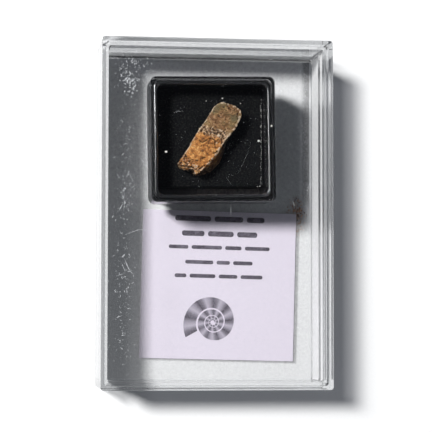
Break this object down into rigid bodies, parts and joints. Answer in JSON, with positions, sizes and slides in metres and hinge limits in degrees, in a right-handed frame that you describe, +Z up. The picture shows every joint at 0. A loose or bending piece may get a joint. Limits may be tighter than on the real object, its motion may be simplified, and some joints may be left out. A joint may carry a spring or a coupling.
{
  "type": "fossil tooth fragment in a display case",
  "caption": "Fossil theropod tooth fragment on black foam in a clear-lidded gem box, with a label card, in a shallow clear rectangular display case.",
  "frame": {"origin": "centre of the display case's footprint, on the underside it stands on", "axes": "+X across the case, +Y along the case towards the gem box end, +Z up out of the lid"},
  "size_m": [0.057, 0.086, 0.022],
  "materials": {
    "case_base_plastic": "clear moulded polystyrene, glossy, lightly scratched",
    "case_lid_plastic": "clear moulded polystyrene, glossy, scratched and dusty",
    "gem_base_plastic": "black moulded polystyrene, glossy",
    "gem_lid_plastic": "clear moulded polystyrene, glossy, lightly scratched",
    "black_foam": "matte fine-celled black foam",
    "fossil_tooth": "mineralised tooth, olive-tan enamel and pitted orange dentine, dull",
    "printed_card": "pale printed card, smooth and matte"
  },
  "bodies": {
    "root": {"case_base": "case_base_plastic", "case_lid": "case_lid_plastic", "gem_box_base": "gem_base_plastic", "gem_box_lid": "gem_lid_plastic", "foam_pad": "black_foam", "tooth_fragment": "fossil_tooth", "label_card": "printed_card"}
  },
  "joints": []
}
